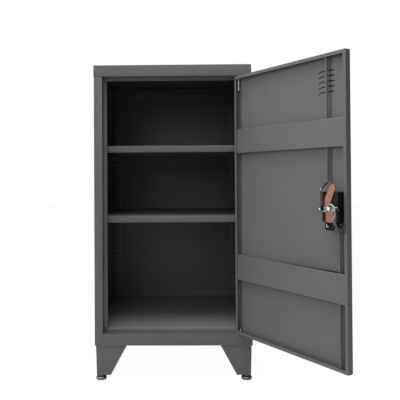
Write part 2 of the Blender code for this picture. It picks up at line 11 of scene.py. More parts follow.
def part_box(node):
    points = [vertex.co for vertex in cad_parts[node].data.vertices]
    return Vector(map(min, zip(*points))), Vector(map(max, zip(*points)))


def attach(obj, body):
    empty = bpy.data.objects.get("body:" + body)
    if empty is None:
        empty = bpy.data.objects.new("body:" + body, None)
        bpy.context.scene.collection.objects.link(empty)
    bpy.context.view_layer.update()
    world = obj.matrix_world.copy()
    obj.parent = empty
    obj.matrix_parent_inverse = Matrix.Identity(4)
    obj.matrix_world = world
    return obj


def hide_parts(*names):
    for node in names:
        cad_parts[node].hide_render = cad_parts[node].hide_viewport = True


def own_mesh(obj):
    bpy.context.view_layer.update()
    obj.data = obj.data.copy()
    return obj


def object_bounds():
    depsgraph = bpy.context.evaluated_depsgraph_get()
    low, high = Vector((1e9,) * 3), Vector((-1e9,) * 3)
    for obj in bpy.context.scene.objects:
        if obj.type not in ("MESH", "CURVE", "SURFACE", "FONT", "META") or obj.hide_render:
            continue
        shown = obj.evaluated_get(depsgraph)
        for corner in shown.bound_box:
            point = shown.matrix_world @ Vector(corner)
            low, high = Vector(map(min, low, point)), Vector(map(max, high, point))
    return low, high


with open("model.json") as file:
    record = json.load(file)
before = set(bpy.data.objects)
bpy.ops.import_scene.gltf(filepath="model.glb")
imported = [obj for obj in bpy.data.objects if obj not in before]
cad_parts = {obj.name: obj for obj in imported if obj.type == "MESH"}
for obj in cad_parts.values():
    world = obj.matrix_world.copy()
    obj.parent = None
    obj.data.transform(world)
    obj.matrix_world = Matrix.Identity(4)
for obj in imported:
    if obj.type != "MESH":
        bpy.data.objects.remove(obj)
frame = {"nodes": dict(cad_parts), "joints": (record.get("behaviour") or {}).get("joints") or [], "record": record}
CAD_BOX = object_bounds()
JOINTS = {joint["name"]: joint for joint in frame["joints"]}

# ---- sheet metal --------------------------------------------------------------------------------
BEND = 0.0018             # outer radius of a fold
FREE_EDGE = 0.00035       # rounding of a sheared edge
WELD_DISTANCE = 1e-6
FLAT_ANGLE = math.radians(0.5)        # faces closer to flat than this are one face
FOLD_ANGLE = math.radians(25)         # edges blunter than this are left as they are
SHEARED_WIDTH = 1.3                   # narrower than this many thicknesses is a sheared edge

# ---- the door's own frame: X towards the hinge edge, Y into the cabinet when shut, Z up -----------
SWING = JOINTS["door_swing"]
DOOR_SPACE = (Matrix.Translation((SWING["pos_m"][0], SWING["pos_m"][1], 0.0))
              @ Matrix.Rotation(math.radians(-SWING["range_deg"][0]), 4, "Z"))


def local_box(node, space):
    """Lowest and highest corner of a CAD node in another frame."""
    inverse = space.inverted()
    places = [inverse @ vert.co for vert in frame["nodes"][node].data.vertices]
    low = Vector(min(p[i] for p in places) for i in range(3))
    high = Vector(max(p[i] for p in places) for i in range(3))
    return low, high


PANEL_LOW, PANEL_HIGH = local_box("door_panel", DOOR_SPACE)
SKIN_Y = PANEL_LOW.y                          # the door's outer face
DOOR_SHEET = 0.0012


def across(a):
    """Door X for a distance from the hinge edge."""
    return PANEL_HIGH.x - a


def inward(n):
    """Door Y for a depth behind the outer face."""
    return SKIN_Y + n


# the lock's frame: X towards the door's free edge, Y up, Z into the cabinet when shut
HANDLE = JOINTS["handle_turn"]
LOCK_SPACE = Matrix.Translation(HANDLE["pos_m"]) @ (
    DOOR_SPACE.to_3x3() @ Matrix(((-1, 0, 0), (0, 0, 1), (0, 1, 0)))).to_4x4()


# ---- materials ----------------------------------------------------------------------------------
NOISE_RANGE = (0.3, 0.7)              # where most values of a noise texture lie


def map_range(tree, value, source, target):
    """The value, carried from one range to another."""
    remap = tree.nodes.new("ShaderNodeMapRange")
    for socket, number in zip(("From Min", "From Max", "To Min", "To Max"), (*source, *target)):
        remap.inputs[socket].default_value = number
    tree.links.new(value, remap.inputs["Value"])
    return remap.outputs["Result"]


def colour_ramp(tree, value, stops):
    """The value as a colour, by stops of (position, colour)."""
    ramp = tree.nodes.new("ShaderNodeValToRGB")
    marks = ramp.color_ramp.elements
    while len(marks) < len(stops):
        marks.new(0.5)
    for mark, (position, colour) in zip(marks, stops):
        mark.position = position
        mark.color = (*colour, 1.0)
    tree.links.new(value, ramp.inputs["Fac"])
    return ramp.outputs["Color"]


class Shader:
    """A Principled material and short ways to wire its textures, all in object coordinates."""

    def __init__(self, name, roughness, metallic=0.0, specular=0.5):
        self.material = bpy.data.materials.new(name)
        self.material.use_nodes = True
        self.tree = self.material.node_tree
        self.nodes, self.links = self.tree.nodes, self.tree.links
        self.main = self.nodes["Principled BSDF"]
        self.main.inputs["Roughness"].default_value = roughness
        self.main.inputs["Metallic"].default_value = metallic
        self.main.inputs["Specular IOR Level"].default_value = specular
        self.place = self.nodes.new("ShaderNodeTexCoord").outputs["Object"]

    def noise(self, scale, detail=2.0):
        texture = self.nodes.new("ShaderNodeTexNoise")
        texture.inputs["Scale"].default_value = scale
        texture.inputs["Detail"].default_value = detail
        self.links.new(self.place, texture.inputs["Vector"])
        return texture.outputs["Fac"]

    def cells(self, scale):
        texture = self.nodes.new("ShaderNodeTexVoronoi")
        texture.feature = "SMOOTH_F1"
        texture.inputs["Scale"].default_value = scale
        self.links.new(self.place, texture.inputs["Vector"])
        return texture.outputs["Distance"]

    def ramp(self, value, stops):
        return colour_ramp(self.tree, value, stops)

    def spread(self, value, low, high):
        """A noise value as one that runs from low to high."""
        return map_range(self.tree, value, NOISE_RANGE, (low, high))

    def blend(self, factor, first, second):
        mix = self.nodes.new("ShaderNodeMix")
        mix.data_type = "RGBA"
        if isinstance(factor, float):
            mix.inputs[0].default_value = factor
        else:
            self.links.new(factor, mix.inputs[0])
        self.links.new(first, mix.inputs[6])
        self.links.new(second, mix.inputs[7])
        return mix.outputs[2]

    def colour(self, value):
        self.links.new(value, self.main.inputs["Base Color"])

    def roughness(self, value):
        self.links.new(value, self.main.inputs["Roughness"])

    def bump(self, *layers):
        """Bump layers of (value, height in metres), one on another."""
        normal = None
        for value, height in layers:
            node = self.nodes.new("ShaderNodeBump")
            node.inputs["Strength"].default_value = 1.0
            node.inputs["Distance"].default_value = height
            self.links.new(value, node.inputs["Height"])
            if normal:
                self.links.new(normal, node.inputs["Normal"])
            normal = node.outputs["Normal"]
        self.links.new(normal, self.main.inputs["Normal"])


def grey(value):
    return value, value, value


def powder_coat(name, dark, light):
    """Dark grey powder coat: a fine pebbled skin, slow drifts of tone, and small scuffs."""
    paint = Shader(name, 0.5, specular=0.42)
    drift = paint.noise(5.0, 3.0)
    speck = paint.noise(900.0, 2.0)
    tone = paint.ramp(drift, [(0.25, grey(dark)), (0.75, grey(light))])
    fleck = paint.ramp(speck, [(0.3, grey(dark * 0.92)), (0.7, grey(light * 1.10))])
    paint.colour(paint.blend(0.35, tone, fleck))
    paint.roughness(paint.spread(paint.noise(38.0, 3.0), 0.44, 0.56))
    paint.bump((paint.cells(620.0), 0.00006), (paint.noise(2600.0, 1.0), 0.00001),
               (paint.noise(9.0, 1.0), 0.00035))
    return paint.material


def zinc_plate():
    zinc = Shader("zinc_plate", 0.3, metallic=1.0)
    cloud = zinc.noise(160.0, 3.0)
    zinc.colour(zinc.ramp(cloud, [(0.25, (0.42, 0.43, 0.44)), (0.6, (0.66, 0.66, 0.65)),
                                  (0.9, (0.74, 0.72, 0.66))]))
    zinc.roughness(zinc.spread(zinc.noise(420.0, 2.0), 0.20, 0.38))
    zinc.bump((zinc.noise(1800.0, 1.0), 0.00001))
    return zinc.material


def dull_zinc():
    dull = Shader("dull_zinc", 0.3, metallic=1.0)
    dull.colour(dull.ramp(dull.noise(140.0, 3.0), [(0.3, (0.10, 0.11, 0.11)), (0.55, (0.19, 0.20, 0.19)),
                                                   (0.75, (0.42, 0.42, 0.40))]))
    dull.roughness(dull.spread(dull.noise(300.0, 2.0), 0.16, 0.34))
    dull.bump((dull.noise(260.0, 2.0), 0.00012))
    return dull.material


def foot_steel():
    steel = Shader("foot_steel", 0.4, metallic=1.0)
    steel.colour(steel.ramp(steel.noise(220.0, 3.0), [(0.3, (0.13, 0.13, 0.13)), (0.7, (0.27, 0.27, 0.28))]))
    steel.roughness(steel.spread(steel.noise(500.0, 2.0), 0.30, 0.50))
    steel.bump((steel.noise(1500.0, 1.0), 0.00002))
    return steel.material


def copper_plate():
    copper = Shader("copper_plate", 0.35, metallic=1.0)
    bright = copper.ramp(copper.noise(130.0, 3.0), [(0.3, (0.27, 0.120, 0.088)), (0.7, (0.35, 0.165, 0.125))])
    dull = copper.ramp(copper.noise(260.0, 2.0), [(0.3, (0.20, 0.115, 0.070)), (0.7, (0.30, 0.165, 0.090))])
    stain = copper.ramp(copper.noise(48.0, 2.0), [(0.45, (0.0, 0.0, 0.0)), (0.62, (1.0, 1.0, 1.0))])
    copper.colour(copper.blend(stain, bright, dull))
    copper.roughness(copper.spread(copper.noise(90.0, 3.0), 0.26, 0.46))
    copper.bump((copper.noise(900.0, 2.0), 0.00002))
    return copper.material


def black_enamel():
    black = Shader("black_enamel", 0.3, specular=0.16)
    black.colour(black.ramp(black.noise(70.0, 2.0), [(0.3, grey(0.002)), (0.7, grey(0.005))]))
    black.roughness(black.spread(black.noise(180.0, 2.0), 0.22, 0.36))
    black.bump((black.cells(900.0), 0.00003), (black.noise(40.0, 1.0), 0.0002))
    return black.material


def bush_brass():
    brass = Shader("bush_brass", 0.35, metallic=1.0)
    brass.colour(brass.ramp(brass.noise(300.0, 2.0), [(0.3, (0.50, 0.38, 0.16)), (0.7, (0.68, 0.55, 0.27))]))
    brass.roughness(brass.spread(brass.noise(600.0, 2.0), 0.28, 0.42))
    return brass.material


LOOKS = {
    "powder_coat": powder_coat("powder_coat", 0.088, 0.098),
    "zinc_plate": zinc_plate(),
    "copper_plate": copper_plate(),
    "black_enamel": black_enamel(),
    "bush_brass": bush_brass(),
    "foot_steel": foot_steel(),
    "dull_zinc": dull_zinc(),
    # a lighter copy of the powder coat for the floor pan: painted light, for the light that falls on the floor
    "floor_painted_light_coat": powder_coat("floor_painted_light_coat", 0.140, 0.160),
}


# ---- making pieces ------------------------------------------------------------------------------
def place_piece(name, mesh, body, look, nodes=(), space=None):
    """A mesh as a piece of the object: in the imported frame, riding on a body, with its finish."""
    if space:
        mesh.transform(space)
    mesh.materials.clear()
    mesh.materials.append(LOOKS[look])
    made = bpy.data.objects.new(name, mesh)
    bpy.context.scene.collection.objects.link(made)
    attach(made, body)
    if nodes:
        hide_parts(*nodes)
    return made


def to_mesh(bm, name):
    mesh = bpy.data.meshes.new(name)
    bm.to_mesh(mesh)
    bm.free()
    return mesh


def with_modifiers(mesh, *steps):
    """The mesh after some modifiers, each given as (type, settings)."""
    holder = bpy.data.objects.new("holder", mesh)
    bpy.context.scene.collection.objects.link(holder)
    for kind, settings in steps:
        modifier = holder.modifiers.new(kind.lower(), kind)
        for key, value in settings.items():
            setattr(modifier, key, value)
    shown = holder.evaluated_get(bpy.context.evaluated_depsgraph_get())
    made = bpy.data.meshes.new_from_object(shown)
    bpy.data.objects.remove(holder)
    return made


def cleaned(node):
    """A CAD node's shape with its flat triangles merged."""
    bm = bmesh.new()
    bm.from_mesh(frame["nodes"][node].data)
    bmesh.ops.remove_doubles(bm, verts=bm.verts, dist=WELD_DISTANCE)
    bmesh.ops.dissolve_limit(bm, angle_limit=FLAT_ANGLE, verts=bm.verts, edges=bm.edges)
    return bm


def sheet_width(face):
    """About the width of a long thin face, or the half-width of a broad one."""
    return 2 * face.calc_area() / max(face.calc_perimeter(), 1e-9)


def round_folds(bm, name, sheet, bend=BEND, free=FREE_EDGE, segments=3):
    """Rounds a folded sheet: folds by the bend radius, sheared edges by a little."""
    weights = bm.edges.layers.float.new("bevel_weight_edge")
    for edge in bm.edges:
        if len(edge.link_faces) != 2 or edge.calc_face_angle() < FOLD_ANGLE:
            continue
        if min(sheet_width(face) for face in edge.link_faces) < SHEARED_WIDTH * sheet:
            edge[weights] = free / bend
        else:
            edge[weights] = 1.0 if edge.is_convex else max(bend - sheet, free) / bend
    settings = {"limit_method": "WEIGHT", "width": bend, "segments": segments, "use_clamp_overlap": True,
                "harden_normals": True, "miter_outer": "MITER_SHARP"}
    mesh = to_mesh(bm, name)
    mesh.shade_smooth()
    return with_modifiers(mesh, ("BEVEL", settings))


def refine(node, body, look="powder_coat", sheet=0.0015, **rounding):
    """A piece that replaces a folded CAD node, with its folds rounded."""
    mesh = round_folds(cleaned(node), f"{node}_sheet", sheet, **rounding)
    return place_piece(f"{node}_sheet", mesh, body, look, [node])


def soften(mesh, width, segments=2, angle=30.0):
    """The mesh with its sharp edges eased."""
    mesh.shade_smooth()
    return with_modifiers(mesh, ("BEVEL", {"width": width, "segments": segments, "harden_normals": True,
                                           "limit_method": "ANGLE", "angle_limit": math.radians(angle),
                                           "use_clamp_overlap": True}))


def add_box(bm, low, high):
    low, high = Vector(low), Vector(high)
    place = Matrix.Translation((low + high) / 2) @ Matrix.Diagonal((*(high - low), 1.0))
    return bmesh.ops.create_cube(bm, size=1.0, matrix=place)["verts"]


def box_mesh(name, low, high):
    bm = bmesh.new()
    add_box(bm, low, high)
    return to_mesh(bm, name)


def drum_mesh(name, centre, axis, radius, length, segments=40):
    bm = bmesh.new()
    turn = Vector((0, 0, 1)).rotation_difference(Vector(axis)).to_matrix().to_4x4()
    bmesh.ops.create_cone(bm, cap_ends=True, segments=segments, radius1=radius, radius2=radius,
                          depth=length, matrix=Matrix.Translation(centre) @ turn)
    return to_mesh(bm, name)


def combine(mesh, tools, operation="DIFFERENCE"):
    """The mesh after cutting, or joining, each tool mesh in turn."""
    holders = []
    steps = []
    for tool in tools:
        holder = bpy.data.objects.new("tool", tool)
        bpy.context.scene.collection.objects.link(holder)
        holders.append(holder)
        steps.append(("BOOLEAN", {"object": holder, "operation": operation, "solver": "EXACT"}))
    made = with_modifiers(mesh, *steps)
    for holder in holders:
        bpy.data.objects.remove(holder)
    return made


def merged(name, meshes):
    """Several meshes as one, without joining their surfaces."""
    bm = bmesh.new()
    for mesh in meshes:
        bm.from_mesh(mesh)
    return to_mesh(bm, name)


def plate_mesh(name, outline, low, high):
    """A flat outline in XY, made a plate between two heights."""
    bm = bmesh.new()
    face = bm.faces.new([bm.verts.new((x, y, low)) for x, y in outline])
    bmesh.ops.recalc_face_normals(bm, faces=[face])
    if face.normal.z > 0:
        bmesh.ops.reverse_faces(bm, faces=[face])
    grown = bmesh.ops.extrude_face_region(bm, geom=[face])["geom"]
    raised = [item for item in grown if isinstance(item, bmesh.types.BMVert)]
    bmesh.ops.translate(bm, verts=raised, vec=(0, 0, high - low))
    bmesh.ops.recalc_face_normals(bm, faces=bm.faces)
    return to_mesh(bm, name)


def tube_mesh(name, points, radius, closed=False, resolution=4):
    """A round wire or rod through points, with soft bends."""
    curve = bpy.data.curves.new(name, "CURVE")
    curve.dimensions = "3D"
    curve.bevel_depth = radius
    curve.bevel_resolution = resolution
    curve.use_fill_caps = not closed
    spline = curve.splines.new("POLY")
    spline.points.add(len(points) - 1)
    for point, place in zip(spline.points, points):
        point.co = (*place, 1.0)
    spline.use_cyclic_u = closed
    holder = bpy.data.objects.new(name, curve)
    bpy.context.scene.collection.objects.link(holder)
    shown = holder.evaluated_get(bpy.context.evaluated_depsgraph_get())
    mesh = bpy.data.meshes.new_from_object(shown)
    bpy.data.objects.remove(holder)
    bm = bmesh.new()
    bm.from_mesh(mesh)
    bmesh.ops.remove_doubles(bm, verts=bm.verts, dist=WELD_DISTANCE)
    made = to_mesh(bm, name)
    made.shade_smooth()
    made.set_sharp_from_angle(angle=math.radians(50))
    return made


SPARE_LENGTH = 2.05       # two bends on one straight leave a little of it between them


def rounded_path(corners, radius, steps=6):
    """A path along corners, with a soft curve that starts about the radius before each inner corner."""
    corners = [Vector(corner) for corner in corners]
    path = [corners[0]]
    for before, here, after in zip(corners, corners[1:], corners[2:]):
        reach = min(radius, (before - here).length / SPARE_LENGTH, (after - here).length / SPARE_LENGTH)
        start = here + (before - here).normalized() * reach
        end = here + (after - here).normalized() * reach
        for i in range(steps + 1):
            t = i / steps
            path.append(start * (1 - t) ** 2 + here * 2 * t * (1 - t) + end * t ** 2)
    path.append(corners[-1])
    return path


def turned_mesh(name, profile, steps=48):
    """A turned shape about Z; the profile runs from the top of its outer side to the bottom."""
    bm = bmesh.new()
    points = [bm.verts.new((radius, 0.0, height)) for radius, height in profile]
    edges = [bm.edges.new(pair) for pair in zip(points, points[1:])]
    bmesh.ops.spin(bm, geom=points + edges, axis=(0, 0, 1), cent=(0, 0, 0), angle=2 * math.pi,
                   steps=steps, use_merge=True)
    bmesh.ops.remove_doubles(bm, verts=bm.verts, dist=WELD_DISTANCE)
    bmesh.ops.recalc_face_normals(bm, faces=bm.faces)
    mesh = to_mesh(bm, name)
    mesh.shade_smooth()
    mesh.set_sharp_from_angle(angle=math.radians(35))
    return mesh


def arc(centre, radius, start_deg, end_deg, steps):
    """Points on an arc, both ends included."""
    angles = [math.radians(start_deg + (end_deg - start_deg) * i / steps) for i in range(steps + 1)]
    return [(centre[0] + radius * math.cos(t), centre[1] + radius * math.sin(t)) for t in angles]


# ---- carcass ------------------------------------------------------------------------------------
LEG = {"sheet": 0.0025, "bend": 0.0030}
CLIP = {"sheet": 0.0010, "bend": 0.0006}
TOP = {"sheet": 0.0010, "bend": 0.0020}
SHELF = {"sheet": 0.0012, "bend": 0.0024}


def carcass():
    for side in ("left", "right"):
        refine(f"side_panel_{side}", "cabinet")
        refine(f"jamb_{side}", "cabinet")
        refine(f"slot_strip_front_{side}", "cabinet", segments=1)
        refine(f"slot_post_rear_{side}", "cabinet", segments=2)
        refine(f"ceiling_rail_{side}", "cabinet")
        for end in ("front", "rear"):
            refine(f"leg_{end}_{side}", "cabinet", **LEG)
            for level in ("upper", "lower"):
                refine(f"clip_{level}_{end}_{side}", "cabinet", "zinc_plate", **CLIP)
    for node in ("back_panel", "base_plate", "sill_channel", "header_channel", "floor_upstand",
                 "wall_fixing_rail"):
        refine(node, "cabinet")
    # the floor pan gets the lighter coat: painted light on its floor
    refine("floor_pan", "cabinet", "floor_painted_light_coat")
    refine("top_cap", "cabinet", **TOP)
    for level in ("upper", "lower"):
        refine(f"shelf_{level}", f"shelf_{level}", **SHELF)


SHADE_SHEET_FACES = (0.00006, 0.00022)      # a wall shade sheet's faces, off the strip or post
REAR_SHADE_SHEET_FACES = (0.0001, 0.0003)   # a rear shade sheet's faces, behind the post
REAR_SHADE_SHEET_SIDES = (0.0030, 0.0300)   # and its sides, in from the wall
SHADE_SHEET_INSET = 0.004
REAR_SHADE_SHEET_TOP = 0.002                # its inset at the top


def slot_shadows():
    """Black sheets of painted shade in the gap behind the slotted strips and posts, seen through the slots: they
    stand for the shade there, not for a part.
    """
    for side, out in (("left", -1), ("right", 1)):
        bm = bmesh.new()
        for node in (f"slot_strip_front_{side}", f"slot_post_rear_{side}"):
            low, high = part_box(node)
            wall = high.x if side == "right" else low.x
            near, far = sorted(wall + out * face for face in SHADE_SHEET_FACES)
            add_box(bm, (near, low.y + SHADE_SHEET_INSET, low.z + SHADE_SHEET_INSET),
                    (far, high.y - SHADE_SHEET_INSET, high.z - SHADE_SHEET_INSET))
            if node.startswith("slot_post"):
                near, far = sorted(wall - out * edge for edge in REAR_SHADE_SHEET_SIDES)
                front, back = (high.y + face for face in REAR_SHADE_SHEET_FACES)
                add_box(bm, (near, front, low.z + SHADE_SHEET_INSET), (far, back, high.z - REAR_SHADE_SHEET_TOP))
        # these black sheets are painted shade, not a part of the cabinet
        place_piece(f"slot_painted_shade_{side}", to_mesh(bm, f"slot_painted_shade_{side}"), "cabinet", "black_enamel")


# ---- door ---------------------------------------------------------------------------------------
LOUVRE_COUNT = 5
LOUVRE_PITCH = 0.017
LOUVRE_TOP = 0.0533       # first louvre below the door's top edge
LOUVRE_A = (0.4120, 0.4825)
LOUVRE_MIDDLE = across(sum(LOUVRE_A) / 2)
LOUVRE_HALF = (LOUVRE_A[1] - LOUVRE_A[0]) / 2
LOUVRE_LIFT = 0.0015      # a slit's flat middle above its level
LOUVRE_CURL = 0.0075      # how far a louvre's end turns down, on the hinge side
LOUVRE_DROOP = 0.0012     # and on the other side
LOUVRE_SLIT = 0.0021      # half the slit's height
LOUVRE_RISE = 0.0050      # hood in front of the skin
LOUVRE_LEVELS = [PANEL_HIGH.z - LOUVRE_TOP - i * LOUVRE_PITCH for i in range(LOUVRE_COUNT)]
HOOD_HALF_WIDTH = 0.0400
HOOD_TOP, HOOD_BOTTOM = 0.0062, -0.0066
HOOD_SHEET = 0.0009


def louvre_line(z, t):
    """A point on a louvre's shear line, with t from -1 at one end to 1 at the other."""
    drop = LOUVRE_CURL * max(t, 0.0) ** 6 + LOUVRE_DROOP * max(-t, 0.0) ** 2
    return Vector((LOUVRE_MIDDLE + LOUVRE_HALF * t, z + LOUVRE_LIFT - drop))


def louvre_slit(z, steps=24):
    """Outline of a louvre's slit: thin, with both ends turned down and narrowed."""
    line = [louvre_line(z, -1 + 2 * i / steps) for i in range(steps + 1)]
    upper, lower = [], []
    for i, point in enumerate(line):
        before, after = line[max(i - 1, 0)], line[min(i + 1, steps)]
        along = (after - before).normalized()
        t = abs(-1 + 2 * i / steps)
        half = LOUVRE_SLIT * math.sqrt(max(1 - t ** 6, 0.02))
        upper.append(point + Vector((-along.y, along.x)) * half)
        lower.append(point - Vector((-along.y, along.x)) * half)
    return [tuple(point) for point in upper + lower[::-1]]


def upright(mesh):
    """Turns a plate made in XY to stand in the door's XZ plane."""
    mesh.transform(Matrix.Rotation(math.radians(90), 4, "X"))
    return mesh


def louvre_hood(z, columns=28, rows=8):
    """Outer hood of a louvre: a pressed half dome, closed at the top and open at the bottom."""
    bm = bmesh.new()
    grid = []
    for i in range(columns + 1):
        s = -1 + 2 * i / columns
        swell = max(1 - abs(s) ** 3.2, 0.0) ** 0.55
        row = []
        for j in range(rows + 1):
            t = j / rows
            height = HOOD_TOP + (HOOD_BOTTOM * (0.55 + 0.45 * swell) - HOOD_TOP) * t
            rise = LOUVRE_RISE * swell * math.sin(t * math.pi / 2) ** 0.8
            place = (LOUVRE_MIDDLE + s * HOOD_HALF_WIDTH, SKIN_Y + 0.0002 - rise, z + height)
            row.append(bm.verts.new(place))
        grid.append(row)
    for i in range(columns):
        for j in range(rows):
            bm.faces.new((grid[i][j], grid[i][j + 1], grid[i + 1][j + 1], grid[i + 1][j]))
    bmesh.ops.recalc_face_normals(bm, faces=bm.faces)
    if sum(face.normal.y for face in bm.faces) > 0:
        bmesh.ops.reverse_faces(bm, faces=bm.faces)
    mesh = to_mesh(bm, "louvre_hood")
    mesh.shade_smooth()
    return with_modifiers(mesh, ("SOLIDIFY", {"thickness": HOOD_SHEET, "offset": -1.0}))


ROD_RADIUS = 0.0045
ROD_HOLE = 0.0052
PIN_HOLE = 0.0040
KEY_HOLE = 0.0108
SPINDLE = DOOR_SPACE.inverted() @ Vector(HANDLE["pos_m"])
KEY = DOOR_SPACE.inverted() @ Vector(JOINTS["key_turn"]["pos_m"])
LOCK_WINDOW = Vector((0.014, 0.01, 0.030))        # half the size of the cut behind the lock
CUTTER_DEPTH = 0.01       # enough to go right through the sheet


def rod_line(end):
    """Where a lock rod's straight run is, in the door's frame."""
    low, high = local_box(f"lock_rod_{end}", DOOR_SPACE)
    return Vector((high.x - ROD_RADIUS, low.y + ROD_RADIUS, 0.0))


def door_cutters():
    """Shapes of the door's openings: louvre slits, lock window, key hole, rod and pin holes."""
    cutters = []
    for z in LOUVRE_LEVELS:
        slit = upright(plate_mesh("slit", louvre_slit(z), 0.0, 2 * CUTTER_DEPTH))
        slit.transform(Matrix.Translation((0.0, SKIN_Y + CUTTER_DEPTH, 0.0)))
        cutters.append(slit)
    cutters.append(box_mesh("window", SPINDLE - LOCK_WINDOW, SPINDLE + LOCK_WINDOW))
    cutters.append(drum_mesh("key_hole", (KEY.x, SKIN_Y, KEY.z), (0, 1, 0), KEY_HOLE, CUTTER_DEPTH))
    for end, z in (("upper", PANEL_HIGH.z), ("lower", PANEL_LOW.z)):
        rod = rod_line(end)
        cutters.append(drum_mesh("rod_hole", (rod.x, rod.y, z), (0, 0, 1), ROD_HOLE, CUTTER_DEPTH))
        cutters.append(drum_mesh("pin_hole", (0.0, 0.0, z), (0, 0, 1), PIN_HOLE, CUTTER_DEPTH))
    return cutters


def door_tray(lip=0.0115):
    """The door: a pressed tray with hems all round and its openings cut."""
    bm = bmesh.new()
    add_box(bm, PANEL_LOW, PANEL_HIGH)
    bm.normal_update()
    inner = max(bm.faces, key=lambda face: face.normal.y)
    bmesh.ops.inset_individual(bm, faces=[inner], thickness=lip, use_even_offset=True)
    bmesh.ops.delete(bm, geom=[inner], context="FACES")
    thicken = {"thickness": DOOR_SHEET, "offset": -1.0, "use_even_offset": True}
    tray = combine(with_modifiers(to_mesh(bm, "tray"), ("SOLIDIFY", thicken)), door_cutters())
    bm = bmesh.new()
    bm.from_mesh(tray)
    bmesh.ops.dissolve_limit(bm, angle_limit=FLAT_ANGLE, verts=bm.verts, edges=bm.edges)
    mesh = round_folds(bm, "door_tray", DOOR_SHEET, bend=0.0021, free=0.0004)
    place_piece("door_tray", mesh, "door", "powder_coat", ["door_panel"], DOOR_SPACE)


def louvres():
    """The louvres' hoods, and black sheets of painted shade between hood and skin, seen through the slits as the
    dark inside the hoods.
    """
    hood_shade_sheets = bmesh.new()
    # black boxes behind each slit: painted shade, not a part of the door
    for z in LOUVRE_LEVELS:
        add_box(hood_shade_sheets, (across(LOUVRE_A[1]) - 0.001, SKIN_Y - 0.0012, z - 0.0090),
                (across(LOUVRE_A[0]) + 0.001, SKIN_Y - 0.0003, z + 0.0045))
    place_piece("louvre_painted_shade", to_mesh(hood_shade_sheets, "louvre_painted_shade"), "door", "black_enamel", (), DOOR_SPACE)
    hoods = merged("louvre_hoods", [louvre_hood(z) for z in LOUVRE_LEVELS])
    place_piece("louvre_hoods", hoods, "door", "powder_coat", (), DOOR_SPACE)


def door_stiffeners():
    for level in ("upper", "lower"):
        refine(f"channel_{level}", "door", sheet=DOOR_SHEET, bend=0.0030)
    refine("pin_bracket", "door", sheet=DOOR_SHEET)


WELD_PROFILE = [(0.0, 0.00022), (0.0014, 0.00020), (0.0024, 0.00012), (0.0030, -0.0001)]
WELD_INSET = (0.010, 0.016)           # from a stiffener's end, and from its edge


def weld_marks():
    """Shallow round spot welds, two at each end of each stiffener."""
    marks = []
    for level in ("upper", "lower"):
        low, high = local_box(f"channel_{level}", DOOR_SPACE)
        for x in (low.x + WELD_INSET[0], high.x - WELD_INSET[0]):
            for z in (low.z + WELD_INSET[1], high.z - WELD_INSET[1]):
                dimple = turned_mesh("weld", WELD_PROFILE, 20)
                dimple.transform(Matrix.Rotation(math.radians(-90), 4, "X"))
                dimple.transform(Matrix.Translation((x, high.y, z)))
                marks.append(dimple)
    place_piece("stiffener_welds", merged("stiffener_welds", marks), "door", "powder_coat", (), DOOR_SPACE)


# ---- hinge pin ----------------------------------------------------------------------------------
PIN_RADIUS = 0.0035
COLLAR_RADIUS = 0.0058
COLLAR_HEIGHT = 0.0025
COLLAR_DOWN = 0.0240      # the collar's underside below the pin's top
LEVER_RADIUS = 0.0032


def hinge_pin():
    """The upper hinge pin with its collar, and the bent lever that pulls it down."""
    low, high = local_box("hinge_pin_upper", DOOR_SPACE)
    collar = high.z - COLLAR_DOWN
    top = collar + COLLAR_HEIGHT
    pin = turned_mesh("pull_pin", [
        (0.0, high.z), (0.0018, high.z), (0.0026, high.z - 0.0004), (PIN_RADIUS, high.z - 0.0020),
        (PIN_RADIUS, top), (COLLAR_RADIUS - 0.0004, top), (COLLAR_RADIUS, top - 0.0004),
        (COLLAR_RADIUS, collar + 0.0004), (COLLAR_RADIUS - 0.0004, collar), (PIN_RADIUS, collar),
        (PIN_RADIUS, low.z + 0.0003), (PIN_RADIUS - 0.0003, low.z), (0.0, low.z)])
    place_piece("pull_pin", pin, "hinge_pin", "zinc_plate", ["hinge_pin_upper"], DOOR_SPACE)
    route = rounded_path([(0.0, 0.0, low.z - 0.0003), (0.0, 0.0, low.z - 0.0100),
                          (-0.0250, 0.0050, low.z - 0.0155)], 0.007, 8)
    lever = tube_mesh("pull_pin_lever", route, LEVER_RADIUS, resolution=6)
    place_piece("pull_pin_lever", lever, "hinge_pin", "zinc_plate", ["pin_lever"], DOOR_SPACE)


def hinge_spring(wire=0.0005, turns=6, per_turn=24):
    """The coil on the upper hinge pin, which closes up as the pin is pulled down."""
    low, high = local_box("pin_spring", DOOR_SPACE)
    radius = (high.x - low.x) / 2 - wire
    rise = high.z - low.z - 2 * wire
    steps = turns * per_turn
    angles = [2 * math.pi * i / per_turn for i in range(steps + 1)]
    helix = [(radius * math.cos(t), radius * math.sin(t), low.z + wire + rise * i / steps)
             for i, t in enumerate(angles)]
    coil = tube_mesh("pin_spring_coil", helix, wire, resolution=2)
    spring = place_piece("pin_spring_coil", coil, "door", "zinc_plate", ["pin_spring"], DOOR_SPACE)
    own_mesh(spring)


# ---- lock ---------------------------------------------------------------------------------------
LOCK = {name: local_box(name, LOCK_SPACE) for name in ("lock_case", "latch_cam", "cross_arm", "spindle_nut",
                                                       "key_ring")}
ARM_END = 0.0090          # radius of the cross arm's ends
ARM_REACH = LOCK["cross_arm"][1].x - ARM_END
ARM_FACE = LOCK["cross_arm"][1].z     # the arm's face towards the cabinet
CASE_WALL = 0.0018
RING_SLOT_X = (-0.026, -0.006)
RING_SLOT_Z = (0.0330, 0.0390)


def rounded_rectangle(low, high, radius, steps=5):
    """Outline of a rectangle with arcs at its corners."""
    corners = ((high[0] - radius, high[1] - radius, 0), (low[0] + radius, high[1] - radius, 90),
               (low[0] + radius, low[1] + radius, 180), (high[0] - radius, low[1] + radius, 270))
    return [point for x, y, start in corners for point in arc((x, y), radius, start, start + 90, steps)]


